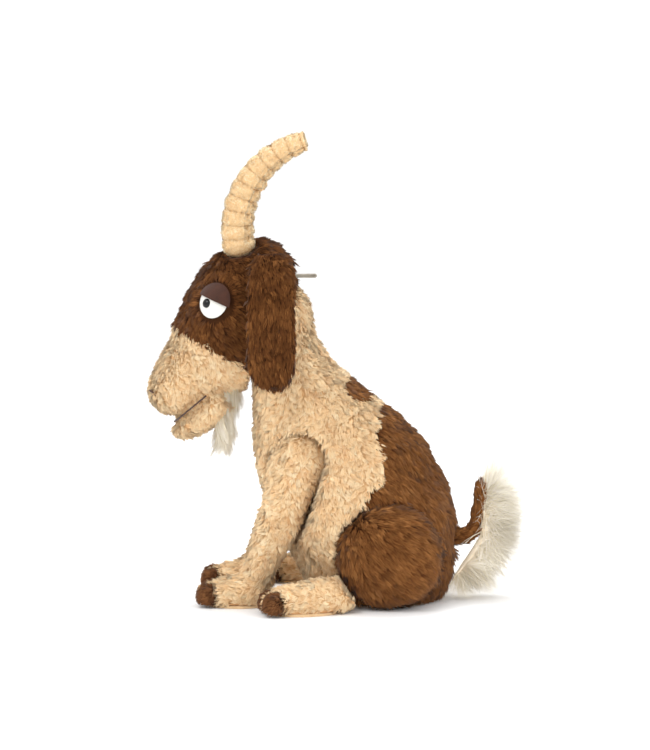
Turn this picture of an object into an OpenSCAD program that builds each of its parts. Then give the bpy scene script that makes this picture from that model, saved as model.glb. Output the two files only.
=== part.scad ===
/* [Body] */
// Height of the neck joint above the floor
neck_z = 212; // [190:1:240]
// Depth of the seated body at the belly
body_d = 138; // [115:1:165]
// Width of the seated body at its widest
body_w = 136; // [115:1:160]
// Radius of the round top of the neck, inside the head
neck_r = 29; // [26:0.5:31]
// Front-to-back place of the middle of the seat
seat_y = 23.5; // [15:0.5:32]
// Thickness of the plush covers, backing and dense pile together
cover_t = 3; // [2:0.5:4]
// Thickness of the flat base panel under the body
base_t = 3; // [2:0.5:4]
// Radius of the pellet bag that keeps the toy sitting
bag_r = 38; // [30:1:42]
// Height of the pellet bag
bag_h = 30; // [22:1:36]

/* [Head] */
// Length of the head, from the back of the skull to the nose
head_l = 150; // [130:1:170]
// Depth of the head, from brow to throat
head_d = 92; // [80:1:105]
// Width of the head at its widest
head_w = 94; // [80:1:105]
// Angle of the face below level
head_pitch = 47.5; // [40:0.5:55]
// How far down the face the brown cover ends
face_seam = 60; // [54:1:66]
// Slope of that seam below level
face_seam_tilt = 33; // [20:1:45]
// Radius of the white of an eye
eye_r = 12.5; // [10:0.5:14]
// Height of the white of an eye
eye_h = 5; // [4:0.5:7]
// Radius of a pupil
pupil_r = 3.4; // [2.5:0.1:4.5]
// Radius of the shank behind an eye
shank_r = 2; // [1.5:0.1:3]
// Radius of the locking washer inside the head
washer_r = 8; // [6:0.5:10]
// Length of the beard
beard_l = 38; // [25:1:44]

/* [Horns and ears] */
// Radius of the circle that a horn curves along
horn_bend = 68; // [58:1:78]
// Angle that a horn curves through
horn_sweep = 83; // [65:1:90]
// Radius of a horn at its foot
horn_r = 12.5; // [10:0.5:14]
// Radius of a horn at its tip
horn_tip_r = 8; // [6:0.5:9]
// Distance of a horn's foot from the middle
horn_x = 18; // [16:0.5:22]
// Outward lean of a horn
horn_lean = 6; // [0:0.5:10]
// Length of an ear
ear_l = 112; // [95:1:125]
// Width of an ear
ear_w = 36; // [28:1:42]
// Thickness of an ear, both layers
ear_t = 7; // [5:0.5:8]

/* [Legs and tail] */
// Distance of a front leg from the middle
front_leg_x = 39; // [36:0.5:44]
// Height of the shoulder
shoulder_z = 110; // [100:1:118]
// Radius of the upper front leg
front_leg_r = 18; // [15:0.5:20]
// Radius of the front leg above the foot
ankle_r = 12; // [10:0.5:14]
// Length of a front foot
front_foot_l = 52; // [44:1:60]
// Width of a front foot
front_foot_w = 36; // [30:1:40]
// Height of the hip
hip_z = 40; // [38:0.5:46]
// Radius of the thigh
thigh_r = 38; // [32:0.5:39]
// Thickness of the thigh
thigh_t = 32; // [26:1:38]
// Length of a hind foot, from the hip to the toes
hind_foot_l = 92; // [80:1:105]
// Width of a hind foot
hind_foot_w = 31; // [26:1:34]
// How far a hind foot points outwards
hind_foot_yaw = 12; // [6:1:16]
// Radius of a toe
toe_r = 8.5; // [7:0.5:9.5]
// Thickness of the soles
sole_t = 2; // [1.5:0.5:3]
// Radius of the tail
tail_r = 6.5; // [5:0.5:8]
// Height of the tail above its root
tail_h = 38; // [30:1:46]
// Half width of the white tuft
tuft_r = 17; // [12:1:20]

/* [Joints] */
// Clearance between pieces that move on each other
joint_gap = 0.6; // [0.4:0.1:1]
// How far the head looks up
look_up = 18; // [5:1:20]
// How far the head nods down
nod_down = 5; // [2:1:5]
// How far a front leg swings forward
front_leg_swing = 17; // [10:1:25]
// How far a horn bends each way
horn_flex = 12; // [5:1:14]
// How far the tail wags each way
tail_wag = 22; // [10:1:25]

/* [Hidden] */

brown = "#7a4c2c";
cream = "#e8cba0";
ivory = "#f5efe0";
stuffing_white = "#f4f4f2";
thread_brown = "#3c2418";

ring_sides = 20;    // sides of a cross-section
lining_sides = 12;  // sides of a cross-section inside a cover
body_sides = 24;    // sides of the body's cross-sections
slice_h = 0.4;       // thickness of a cross-section
fit_gap = 0.2;      // clearance of a stuffing inside its cover
reach = 400;        // a length past the whole toy

// Body cross-sections: height as a share of neck_z, front and back as shares of body_d from
// the middle of the seat, half width as a share of half body_w
body_rows = [
  [0, -0.185, 0.38, 0.7],
  [0.038, -0.293, 0.453, 0.84],
  [0.104, -0.359, 0.489, 0.93],
  [0.189, -0.424, 0.496, 0.985],
  [0.3, -0.508, 0.499, 1],
  [0.42, -0.577, 0.445, 0.95],
  [0.566, -0.612, 0.322, 0.81],
  [0.66, -0.609, 0.178, 0.715],
  [0.755, -0.609, -0.011, 0.63],
  [0.849, -0.634, -0.178, 0.54],
  [0.943, -0.678, -0.264, 0.455]
];

// Head cross-sections along the face: distance as a share of head_l, lowest and highest as
// shares of head_d, half width as a share of half head_w
head_rows = [
  [-0.247, 0.04, 0.17, 0.2],
  [-0.207, -0.11, 0.27, 0.57],
  [-0.133, -0.28, 0.36, 0.82],
  [-0.033, -0.41, 0.435, 0.96],
  [0.08, -0.5, 0.45, 1],
  [0.22, -0.54, 0.41, 0.95],
  [0.387, -0.51, 0.32, 0.78],
  [0.453, -0.43, 0.25, 0.7],
  [0.547, -0.29, 0.217, 0.67],
  [0.66, -0.26, 0.165, 0.62],
  [0.725, -0.22, 0.11, 0.5],
  [0.767, -0.11, 0.01, 0.19]
];

// Chin cross-sections, as head_rows
chin_rows = [
  [0.493, -0.52, -0.26, 0.55],
  [0.6, -0.53, -0.235, 0.53],
  [0.72, -0.475, -0.23, 0.42],
  [0.787, -0.41, -0.25, 0.27],
  [0.807, -0.36, -0.29, 0.11]
];

// Front foot cross-sections: distance as a share of front_foot_l, lowest and highest in millimetres,
// half width as a share of half front_foot_w
front_foot_rows = [
  [0, 4, 12, 0.35],
  [0.09, -2, 20, 0.75],
  [0.3, -4, 27, 0.96],
  [0.65, -4, 22, 1],
  [0.92, 0, 16, 0.78],
  [1, 5, 11, 0.4]
];

// Hind foot cross-sections: distance as a share of hind_foot_l, then as front_foot_rows
hind_foot_rows = [
  [0.26, 5, 22, 0.6],
  [0.37, -2, 27, 0.84],
  [0.6, -3, 26.5, 0.96],
  [0.85, -2, 22, 1],
  [0.96, 0, 17, 0.85],
  [1, 5, 12, 0.5]
];

function body_y(z, column) = seat_y + body_d * lookup(z / neck_z, [for (row = body_rows) [row[0], row[column]]]);
body_slices = [
  for (row = body_rows)
    let (front = seat_y + body_d * row[1], back = seat_y + body_d * row[2])
      [[0, (front + back) / 2, row[0] * neck_z], [0, 0, 0], body_w / 2 * row[3], (back - front) / 2]
];
neck_joint = [0, seat_y - 0.484 * body_d, neck_z];
throat_drop = 5;    // how far the head's room for the neck reaches below the throat
// How much more the back edge of a leg's sweep leans than the leg swings
sweep_lean = 38;
// Room behind a front leg in its sweep
sweep_gap = 2;
// How far the lid comes down over the pupil
lid_drop = 2.5;
// Where the pupil sits on the white, and how deep
pupil_shift = [2, -3];
pupil_sink = 1.5;
// The plug that joins a horn's filling to its root
plug_step = 1;
plug_h = 2;

// The head's own axes: X across, Y up out of the face, Z along the face towards the nose
head_turn = [90 + head_pitch, 0, 0];
head_centre = neck_joint + [0, -15, 20];
function along_head(x, up, along) = head_centre + [
  x,
  -up * sin(head_pitch) - along * cos(head_pitch),
  up * cos(head_pitch) - along * sin(head_pitch)
];
function head_slices(rows) = [
  for (row = rows)
    [along_head(0, head_d * (row[1] + row[2]) / 2, head_l * row[0]), head_turn,
      head_w / 2 * row[3], head_d * (row[2] - row[1]) / 2]
];
skull_slices = head_slices(head_rows);
chin_slices = head_slices(chin_rows);
eye_along = 25;
eye_up = 17;
eye_place = along_head(head_w / 2 * 0.81, eye_up, eye_along);
eye_yaw = 32;
eye_lift = 14;
shank_l = 11;
washer_t = 1.6;

horn_joint = [horn_x, neck_joint[1] - 27, neck_z + 56];
horn_steps = 7;
horn_cover_t = 2;
horn_start = 8;     // the horn's foot starts this many degrees below level
ear_joint = [34, neck_joint[1] - 2, neck_z + 47];

// The ear hangs from its joint: turn away from straight down at each step along it
ear_path = [[0, -62], [0.1, -50], [0.2, -34], [0.32, -18], [0.48, -8], [0.66, -3], [0.84, 2], [0.95, 4], [1, 4]];
ear_width = [[0, 0.6], [0.12, 0.9], [0.3, 1], [0.7, 1], [0.88, 0.86], [0.96, 0.55], [1, 0.25]];

shoulder = [front_leg_x, seat_y - 47, shoulder_z];
elbow = [front_leg_x, shoulder[1] - 14, 68];
ankle = [front_leg_x, shoulder[1] - 32, 25];
front_foot_back = ankle[1] + 10;
hip = [body_w / 2 - 4, seat_y + 17, hip_z];
thigh_in = body_w / 2 - 18;
thigh_edge = 8;     // height of the straight edge of the thigh
tail_joint = [0, body_y(46, 2) - 1, 46];
tuft_low = 4;

// Where the brown cover of the back begins, seen from the side: place from the middle of the
// seat, and height
brown_edge = [[28, 170], [9, 147], [7, 128], [11, 112], [11, 95], [0, 84], [-2, 60], [-9, base_t]];
spot_r = 12.5;
spot_centre = [0, body_y(158, 2) - 5, 158];

// The direction that a cross-section faces
function facing(turn) = [sin(turn[1]) * cos(turn[0]), -sin(turn[0]), cos(turn[1]) * cos(turn[0])];

// Cross-sections drawn in by t, the two end ones moved inwards too
function drawn_in(slices, t) = [
  for (i = [0 : len(slices) - 1])
    let (s = slices[i], way = i == 0 ? 1 : i == len(slices) - 1 ? -1 : 0)
      [s[0] + way * t * facing(s[1]), s[1], max(s[2] - t, 0.4), max(s[3] - t, 0.4)]
];

module slice(s, sides = ring_sides) {
  translate(s[0]) rotate(s[1]) scale([s[2], s[3], 1]) cylinder(r = 1, h = slice_h, $fn = sides);
}

// Cross-sections joined one to the next
module loft(slices, sides = ring_sides) {
  for (i = [0 : len(slices) - 2])
    hull() {
      slice(slices[i], sides);
      slice(slices[i + 1], sides);
    }
}

function sides_at(t) = t > 0 ? lining_sides : ring_sides;

// A part is drawn for the left side, and mirrored for the right
module on_side(left) {
  mirror([left ? 0 : 1, 0, 0]) children();
}

module turned_about(centre, turn) {
  translate(centre) rotate(turn) translate(-centre) children();
}

module above(z) {
  translate([-reach / 2, -reach / 2, z]) cube(reach);
}

function ellipse(half_w, half_l, steps = 40) = [
  for (i = [0 : steps - 1]) [half_w * cos(i * 360 / steps), half_l * sin(i * 360 / steps)]
];

// ---- Body ----

module body_form(t = 0) {
  slices = drawn_in(body_slices, t);
  sides = t > 0 ? ring_sides : body_sides;
  loft(slices, sides);
  hull() {
    slice(slices[len(slices) - 1], sides);
    translate(neck_joint) sphere(r = neck_r - t, $fn = sides);
  }
}

// The side view of a front leg swept through its swing: all that lies before its back edge,
// and below its top edge when it is swung forward
module front_leg_sweep(g) {
  back = front_leg_r + g;
  translate([shoulder[1], shoulder[2]]) {
    circle(r = back, $fn = 24);
    polygon([
      [0, back],
      [back, 0],
      [elbow[1] - shoulder[1] + back + sweep_gap, elbow[2] - shoulder[2]],
      [ankle[1] - shoulder[1] + ankle_r + sweep_gap + g, ankle[2] - shoulder[2]],
      [ankle[1] - shoulder[1] + ankle_r + sweep_gap + g, -shoulder[2]],
      [-body_d, -shoulder[2]],
      [-body_d, back - body_d / tan(front_leg_swing + sweep_lean)]
    ]);
  }
}

module body_pockets(g) {
  for (left = [true, false])
    on_side(left) {
      translate([front_leg_x - front_leg_r - g, 0, 0]) rotate([90, 0, 90]) linear_extrude(reach) front_leg_sweep(g);
      translate([thigh_in - g, hip[1], hip[2]]) rotate([0, 90, 0]) cylinder(r = thigh_r + g, h = reach, $fn = 40);
    }
  translate(tail_joint) sphere(r = tail_r + g, $fn = ring_sides);
}

module body_shell() {
  intersection() {
    above(base_t);
    difference() {
      body_form();
      body_pockets(joint_gap);
      difference() {
        body_form(cover_t);
        body_pockets(joint_gap + cover_t);
      }
    }
  }
}

module brown_region() {
  translate([-reach / 2, 0, 0]) rotate([90, 0, 90]) linear_extrude(reach)
    polygon(concat([for (p = brown_edge) [seat_y + p[0], p[1]]], [[reach, base_t], [reach, 170]]));
}

module spot_region(g = 0) {
  translate(spot_centre - [reach / 2, 0, 0]) rotate([0, 90, 0]) cylinder(r = spot_r + g, h = reach, $fn = 40);
}

module body_cover_cream() color(cream) difference() {
  body_shell();
  brown_region();
  spot_region();
}

module body_cover_brown() color(brown) difference() {
  intersection() {
    body_shell();
    brown_region();
  }
  spot_region();
}

module back_spot() color(brown) intersection() {
  body_shell();
  spot_region();
}

module base_panel() color(cream)
  translate(body_slices[0][0]) linear_extrude(base_t)
    polygon(ellipse(body_slices[0][2], body_slices[0][3]));

module bag_shape(g = 0) {
  foot = bag_r * 0.8 + g;
  translate([0, body_slices[0][0][1], base_t + fit_gap]) rotate_extrude($fn = 32)
    polygon([[0, -g * 5], [foot, -g * 5], [foot, 0], [bag_r + g, bag_h * 0.3], [bag_r + g, bag_h * 0.6], [bag_r * 0.7, bag_h + g], [0, bag_h + g]]);
}

module body_stuffing() color(stuffing_white) difference() {
  body_form(cover_t + fit_gap);
  body_pockets(joint_gap + cover_t + fit_gap);
  bag_shape(fit_gap);
}

module pellet_bag() color("lightgrey") bag_shape();

// ---- Head ----

// The room that the neck needs inside the head, over the whole nod
module neck_room(g) {
  throat = body_slices[8];
  hull() {
    translate(neck_joint) sphere(r = neck_r + g, $fn = 26);
    for (turn = [-nod_down, look_up])
      turned_about(neck_joint, [turn, 0, 0])
        slice([throat[0] - [0, 0, throat_drop], [0, 0, 0], throat[2] + g, throat[3] + g]);
  }
}

module head_form(t = 0) {
  loft(drawn_in(skull_slices, t), sides_at(t));
  loft(drawn_in(chin_slices, t), sides_at(t));
}

module horn_sockets(g) {
  for (left = [true, false])
    on_side(left) translate(horn_joint) {
      sphere(r = horn_r + g, $fn = ring_sides);
      rotate([0, horn_lean, 0])
        cylinder(r1 = horn_r + g, r2 = horn_r + g + 20 * tan(horn_flex), h = 20, $fn = ring_sides);
    }
}

module eye_frame() {
  translate(eye_place) rotate([0, 0, -eye_yaw]) rotate([0, 90 - eye_lift, 0]) children();
}

// The flat seat of each eye, and the hole for its shank
module eye_seats() {
  for (left = [true, false])
    on_side(left) eye_frame() {
      cylinder(r = eye_r, h = eye_h * 3, $fn = 24);
      translate([0, 0, -shank_l]) cylinder(r = shank_r + fit_gap, h = shank_l, $fn = 16);
    }
}

module head_shell() {
  difference() {
    head_form();
    neck_room(joint_gap);
    horn_sockets(joint_gap);
    eye_seats();
    difference() {
      head_form(cover_t);
      neck_room(joint_gap + cover_t);
    }
  }
}

// Everything on the nose side of the seam between brown and cream
module face_region() {
  translate(along_head(0, 0, face_seam)) rotate([-face_seam_tilt, 0, 0])
    translate([-reach / 2, -reach, -reach]) cube([reach, reach * 2, reach]);
}

module chin_region() {
  difference() {
    loft(drawn_in(chin_slices, -0.5));
    loft(drawn_in(skull_slices, -0.1));
  }
}

module head_cover() color(brown) difference() {
  head_shell();
  face_region();
}

module muzzle_cover() color(cream) difference() {
  intersection() {
    head_shell();
    face_region();
  }
  chin_region();
}

module chin_cover() color(cream) intersection() {
  head_shell();
  face_region();
  chin_region();
}

module head_stuffing() color(stuffing_white) difference() {
  head_form(cover_t + fit_gap);
  neck_room(joint_gap + cover_t + fit_gap);
  horn_sockets(joint_gap + fit_gap);
  for (left = [true, false])
    on_side(left) eye_frame() translate([0, 0, -shank_l]) cylinder(r = washer_r + fit_gap, h = shank_l, $fn = 24);
}

module beard() color(ivory) {
  root = along_head(0, -head_d * 0.5, head_l * 0.6);
  difference() {
    loft([for (i = [0 : 8]) [root + [0, -1 - i * 0.4, -beard_l * i / 8 + 6], [0, 0, 0], 9 - i * 0.8, 6 - i * 0.5]]);
    head_form(-0.1);
  }
}

module thread_curve(points, r) {
  for (i = [0 : len(points) - 2])
    hull() {
      translate(points[i]) sphere(r = r, $fn = 8);
      translate(points[i + 1]) sphere(r = r, $fn = 8);
    }
}

module mouth_thread() color(thread_brown)
  thread_curve([for (a = [-80 : 16 : 80]) along_head(head_w * 0.29 * sin(a), -head_d * (0.285 - 0.055 * cos(a)), head_l * (0.5 + 0.265 * cos(a)))], 0.7);

module nostril_threads() color(thread_brown)
  for (left = [true, false])
    on_side(left) thread_curve([for (a = [-40 : 20 : 40]) along_head(head_w * 0.2 + 1.5 * cos(a), head_d * 0.06 + 5 * sin(a) * 0.8, head_l * 0.727 - 2 * cos(a))], 0.7);

module sewn_label() color("gainsboro") {
  label = [18, 11, 1.2];
  translate(along_head(0, -head_d * 0.17, -head_l * 0.19) + [-label[0] / 2, 4, -label[2] / 2]) cube(label);
}

module dome(r, h, t = 0) {
  ball = (r * r + h * h) / (2 * h);
  rotate_extrude($fn = 48) intersection() {
    translate([0, h - ball]) circle(r = ball + t, $fn = 96);
    square([reach, reach]);
  }
}

module eye_white() color("white") eye_frame() difference() {
  union() {
    dome(eye_r - 0.2, eye_h);
    translate([0, 0, -shank_l + 0.5]) cylinder(r = shank_r, h = shank_l, $fn = 24);
  }
  translate([pupil_shift[0], pupil_shift[1], eye_h - pupil_sink]) cylinder(r = pupil_r, h = 5, $fn = 32);
}

module pupil() color("black") eye_frame() translate([pupil_shift[0], pupil_shift[1], eye_h - pupil_sink]) {
  cylinder(r = pupil_r, h = 1.2, $fn = 32);
  translate([0, 0, 1.2]) dome(pupil_r, 1.6);
}

// Ends just clear of the pupil
module eyelid() color("#5a3424") eye_frame() intersection() {
  difference() {
    dome(eye_r - 0.2, eye_h, 1.6);
    dome(eye_r - 0.2, eye_h, 0.1);
  }
  rotate([0, 0, -20]) translate([-reach + lid_drop - pupil_r, -reach / 2, -1]) cube([reach, reach, reach]);
}

module eye_washer() color("silver") eye_frame()
  translate([0, 0, -shank_l + 1.5]) difference() {
    cylinder(r = washer_r, h = washer_t, $fn = 40);
    translate([0, 0, -1]) cylinder(r = shank_r, h = washer_t + 2, $fn = 24);
  }

// ---- Ears ----

function ear_point(u) = let (n = 40, steps = ceil(u * n)) ear_joint + [
  for (axis = [0 : 2])
    axis == 1 ? 0 : -ear_l * (steps == 0 ? 0 : sum([for (i = [0 : steps - 1])
      let (turn = lookup((i + 0.5) / n, ear_path)) (axis == 0 ? sin(turn) : cos(turn)) * min(1 / n, u - i / n)]))
];
function sum(v, i = 0) = i == len(v) ? 0 : v[i] + sum(v, i + 1);

module ear_slice(u, layer) {
  half = [for (a = [0 : 30 : 180]) [layer * ear_t / 2 * sin(a), ear_w / 2 * lookup(u, ear_width) * cos(a)]];
  translate(ear_point(u)) rotate([0, lookup(u, ear_path), 0]) linear_extrude(slice_h) polygon(half);
}

module ear_layer(layer) {
  for (i = [0 : len(ear_path) - 2])
    hull() {
      ear_slice(ear_path[i][0], layer);
      ear_slice(ear_path[i + 1][0], layer);
    }
}

module ear_outer() color(brown) ear_layer(1);

module ear_lining() color("#6b4226") difference() {
  ear_layer(-1);
  ear_layer(1);
  head_form(-joint_gap);
}

// ---- Horns ----

module horn_slice(i, r, front) {
  turn = horn_sweep * i / horn_steps - horn_start;
  section = front == 0
    ? [for (a = [0 : 30 : 330]) [r * sin(a), r * cos(a)]]
    : [for (a = [-90 : 30 : 90]) [r * sin(a), front * r * cos(a)]];
  translate([0, horn_bend * (cos(horn_start) - cos(turn)), horn_bend * (sin(turn) + sin(horn_start))])
    rotate([-turn, 0, 0]) linear_extrude(slice_h) polygon(section);
}

// A horn, or half of one: front is -1 for the ribbed side, 1 for the gathered side and 0 for both
module horn_form(front, t, tip = 0) {
  for (i = [0 : horn_steps - 1])
    hull() {
      horn_slice(i, horn_r + (horn_tip_r - horn_r) * (i / horn_steps) ^ 2 - t, front);
      horn_slice(i + 1 - (i == horn_steps - 1 ? tip : 0), horn_r + (horn_tip_r - horn_r) * ((i + 1) / horn_steps) ^ 2 - t, front);
    }
}

module horn_frame() {
  translate(horn_joint) rotate([0, horn_lean, 0]) children();
}

module horn_cover() color("#ecd0a0") horn_frame() difference() {
  horn_form(-1, 0);
  horn_form(0, horn_cover_t, 0.4);
}

module horn_back() color("#e4c392") horn_frame() difference() {
  horn_form(1, 0);
  horn_form(-1, 0);
  horn_form(0, horn_cover_t, 0.4);
}

// The foot of the stuffing fills the round socket in the head, below the two covers
module horn_stuffing() color(stuffing_white) horn_frame() {
  core_r = horn_r - horn_cover_t - fit_gap;
  horn_form(0, horn_cover_t + fit_gap, 0.5);
  difference() {
    sphere(r = horn_r, $fn = ring_sides);
    rotate([horn_start, 0, 0]) translate([0, 0, -fit_gap]) cylinder(r = horn_r * 2, h = horn_r * 2, $fn = ring_sides);
  }
  rotate([horn_start, 0, 0]) translate([0, 0, -plug_h / 2]) cylinder(r = core_r - plug_step, h = plug_h, $fn = ring_sides);
}

// ---- Front legs ----

function front_foot_slices() = [
  for (row = front_foot_rows)
    [[front_leg_x, front_foot_back - row[0] * front_foot_l, (row[1] + row[2]) / 2], [90, 0, 0], front_foot_w / 2 * row[3], (row[2] - row[1]) / 2]
];

module front_leg_form(t = 0) {
  limb_tilt = -atan2(elbow[1] - ankle[1], elbow[2] - ankle[2]);
  hull() {
    translate(shoulder) sphere(r = front_leg_r - t, $fn = sides_at(t));
    slice([elbow, [limb_tilt / 2, 0, 0], front_leg_r - 1 - t, front_leg_r - 1 - t], sides_at(t));
  }
  loft([
    [elbow, [limb_tilt / 2, 0, 0], front_leg_r - 1 - t, front_leg_r - 1 - t],
    [(elbow + ankle) / 2, [limb_tilt, 0, 0], front_leg_r - 3 - t, front_leg_r - 3.5 - t],
    [ankle - [0, 2, 6], [0, 0, 0], ankle_r + 2 - t, ankle_r - t]
  ], sides_at(t));
  loft(drawn_in(front_foot_slices(), t), sides_at(t));
}

module front_toes_shape(g = 0) {
  for (side = [-1, 1])
    translate([front_leg_x + side * (toe_r - 0.5), front_foot_back - front_foot_l + toe_r - 3, toe_r]) intersection() {
      sphere(r = toe_r + g, $fn = 20);
      translate([side > 0 ? -toe_r + 0.5 : -reach, -reach / 2, -reach / 2]) cube([reach + (side > 0 ? 0 : toe_r - 0.5), reach, reach]);
    }
}

module front_leg_cover() color(cream) difference() {
  intersection() {
    front_leg_form();
    above(sole_t);
  }
  front_leg_form(cover_t);
  front_toes_shape(fit_gap);
}

module front_leg_sole() color(cream) difference() {
  translate([front_leg_x, front_foot_back - front_foot_l * 0.46, 0]) linear_extrude(sole_t) polygon(ellipse(front_foot_w * 0.42, front_foot_l * 0.42));
  front_toes_shape(fit_gap);
}

module front_leg_toes() color("#5c3a22") front_toes_shape();

module front_leg_stuffing() color(stuffing_white) difference() {
  intersection() {
    front_leg_form(cover_t + fit_gap);
    above(sole_t + fit_gap);
  }
  front_toes_shape(fit_gap * 2);
}

// ---- Hind legs ----

module thigh_profile(t) {
  polygon(concat(
    [[0, 0], [thigh_r - t, 0]],
    [for (a = [0 : 10 : 90]) [(thigh_r - t) * cos(a), thigh_edge + (thigh_t - thigh_edge - t) * sin(a)]]
  ));
}

module thigh_frame() {
  translate([thigh_in, hip[1], hip[2]]) rotate([0, 90, 0]) children();
}

module thigh_cover() color(brown) thigh_frame() rotate_extrude($fn = 60) difference() {
  thigh_profile(0);
  thigh_profile(cover_t);
}

module thigh_stuffing() color(stuffing_white) thigh_frame() rotate_extrude($fn = 60) thigh_profile(cover_t + fit_gap);

module hind_foot_frame() {
  translate([hip[0], hip[1], 0]) rotate([0, 0, hind_foot_yaw]) children();
}

hind_foot_slices = [
  for (row = hind_foot_rows)
    [[0, -row[0] * hind_foot_l, (row[1] + row[2]) / 2], [90, 0, 0], hind_foot_w / 2 * row[3], (row[2] - row[1]) / 2]
];

module hind_toes_shape(g = 0) {
  for (side = [-1, 1])
    translate([side * (toe_r - 0.5), -hind_foot_l + toe_r - 3, toe_r]) intersection() {
      sphere(r = toe_r + g, $fn = 20);
      translate([side > 0 ? -toe_r + 0.5 : -reach, -reach / 2, -reach / 2]) cube([reach + (side > 0 ? 0 : toe_r - 0.5), reach, reach]);
    }
}

module thigh_room(g) {
  translate([thigh_in - reach / 2, hip[1], hip[2]]) rotate([0, 90, 0]) cylinder(r = thigh_r + g, h = reach, $fn = 60);
}

module hind_foot_cover() color(cream) difference() {
  hind_foot_frame() difference() {
    intersection() {
      loft(hind_foot_slices);
      above(sole_t);
    }
    loft(drawn_in(hind_foot_slices, cover_t), lining_sides);
    hind_toes_shape(fit_gap);
  }
  thigh_room(fit_gap / 2);
}

module hind_foot_sole() color(cream) hind_foot_frame() difference() {
  translate([0, -hind_foot_l * 0.68, 0]) linear_extrude(sole_t) polygon(ellipse(hind_foot_w * 0.42, hind_foot_l * 0.26));
  hind_toes_shape(fit_gap);
}

module hind_foot_toes() color("#5c3a22") hind_foot_frame() hind_toes_shape();

module hind_foot_stuffing() color(stuffing_white) difference() {
  hind_foot_frame() difference() {
    intersection() {
      loft(drawn_in(hind_foot_slices, cover_t + fit_gap), lining_sides);
      above(sole_t + fit_gap);
    }
    hind_toes_shape(fit_gap * 2);
  }
  thigh_room(fit_gap);
}

// ---- Tail ----

tail_points = [[0, 0], [9, 1], [16, 8], [20, 22], [21, tail_h], [20.5, tail_h + 4]];
tail_turns = [90, 78, 42, 12, 0, 0];
tail_sizes = [1, 1, 1, 1, 0.9, 0.4];
tail_cover_t = 2;

module tail_form(t) {
  translate(tail_joint) {
    sphere(r = tail_r - t, $fn = 12);
    loft([for (i = [0 : len(tail_points) - 1])
      [[0, tail_points[i][0], tail_points[i][1]], [-tail_turns[i], 0, 0],
        max(tail_r * tail_sizes[i] - t, 0.4), max(tail_r * tail_sizes[i] - t, 0.4)]], 12);
  }
}

module tail_cover() color(brown) difference() {
  tail_form(0);
  tail_form(tail_cover_t);
  translate(tail_joint) rotate([90, 0, 0]) cylinder(r = tail_r / 2, h = reach / 4, $fn = 16);
}

module tail_stuffing() color(stuffing_white) tail_form(tail_cover_t + fit_gap);

module tail_tuft() color(ivory) difference() {
  // height above the floor, distance behind the tail joint, half width and half depth
  rows = [[0, 17, 0.35, 5], [7, 19.5, 0.7, 9], [20, 25, 0.9, 13.5], [38, 30, 1, 17], [60, 33, 1, 15.5], [80, 32, 0.8, 11.5], [91, 29, 0.6, 8], [98, 27, 0.25, 3]];
  loft([for (row = rows) [[0, tail_joint[1] + row[1], tuft_low + row[0]], [0, 0, 0], tuft_r * row[2], row[3]]]);
  tail_form(-0.1);
}

body_cover_cream();
body_cover_brown();
back_spot();
base_panel();
body_stuffing();
pellet_bag();
head_cover();
muzzle_cover();
chin_cover();
head_stuffing();
beard();
mouth_thread();
nostril_threads();
sewn_label();
on_side(true) eye_white();  // left_eye_white
on_side(false) eye_white();  // right_eye_white
on_side(true) pupil();  // left_pupil
on_side(false) pupil();  // right_pupil
on_side(true) eyelid();  // left_eyelid
on_side(false) eyelid();  // right_eyelid
on_side(true) eye_washer();  // left_eye_washer
on_side(false) eye_washer();  // right_eye_washer
on_side(true) ear_outer();  // left_ear_outer
on_side(false) ear_outer();  // right_ear_outer
on_side(true) ear_lining();  // left_ear_lining
on_side(false) ear_lining();  // right_ear_lining
on_side(true) horn_cover();  // left_horn_cover
on_side(false) horn_cover();  // right_horn_cover
on_side(true) horn_back();  // left_horn_back
on_side(false) horn_back();  // right_horn_back
on_side(true) horn_stuffing();  // left_horn_stuffing
on_side(false) horn_stuffing();  // right_horn_stuffing
on_side(true) front_leg_cover();  // left_front_leg_cover
on_side(false) front_leg_cover();  // right_front_leg_cover
on_side(true) front_leg_sole();  // left_front_leg_sole
on_side(false) front_leg_sole();  // right_front_leg_sole
on_side(true) front_leg_toes();  // left_front_leg_toes
on_side(false) front_leg_toes();  // right_front_leg_toes
on_side(true) front_leg_stuffing();  // left_front_leg_stuffing
on_side(false) front_leg_stuffing();  // right_front_leg_stuffing
on_side(true) thigh_cover();  // left_thigh_cover
on_side(false) thigh_cover();  // right_thigh_cover
on_side(true) hind_foot_cover();  // left_hind_foot_cover
on_side(false) hind_foot_cover();  // right_hind_foot_cover
on_side(true) hind_foot_sole();  // left_hind_foot_sole
on_side(false) hind_foot_sole();  // right_hind_foot_sole
on_side(true) hind_foot_toes();  // left_hind_foot_toes
on_side(false) hind_foot_toes();  // right_hind_foot_toes
on_side(true) thigh_stuffing();  // left_thigh_stuffing
on_side(false) thigh_stuffing();  // right_thigh_stuffing
on_side(true) hind_foot_stuffing();  // left_hind_foot_stuffing
on_side(false) hind_foot_stuffing();  // right_hind_foot_stuffing
tail_cover();
tail_tuft();
tail_stuffing();
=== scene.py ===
import math
import bmesh
import bpy
import numpy as np
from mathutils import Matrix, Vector, noise
from mathutils.bvhtree import BVHTree
from mathutils.kdtree import KDTree


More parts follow.
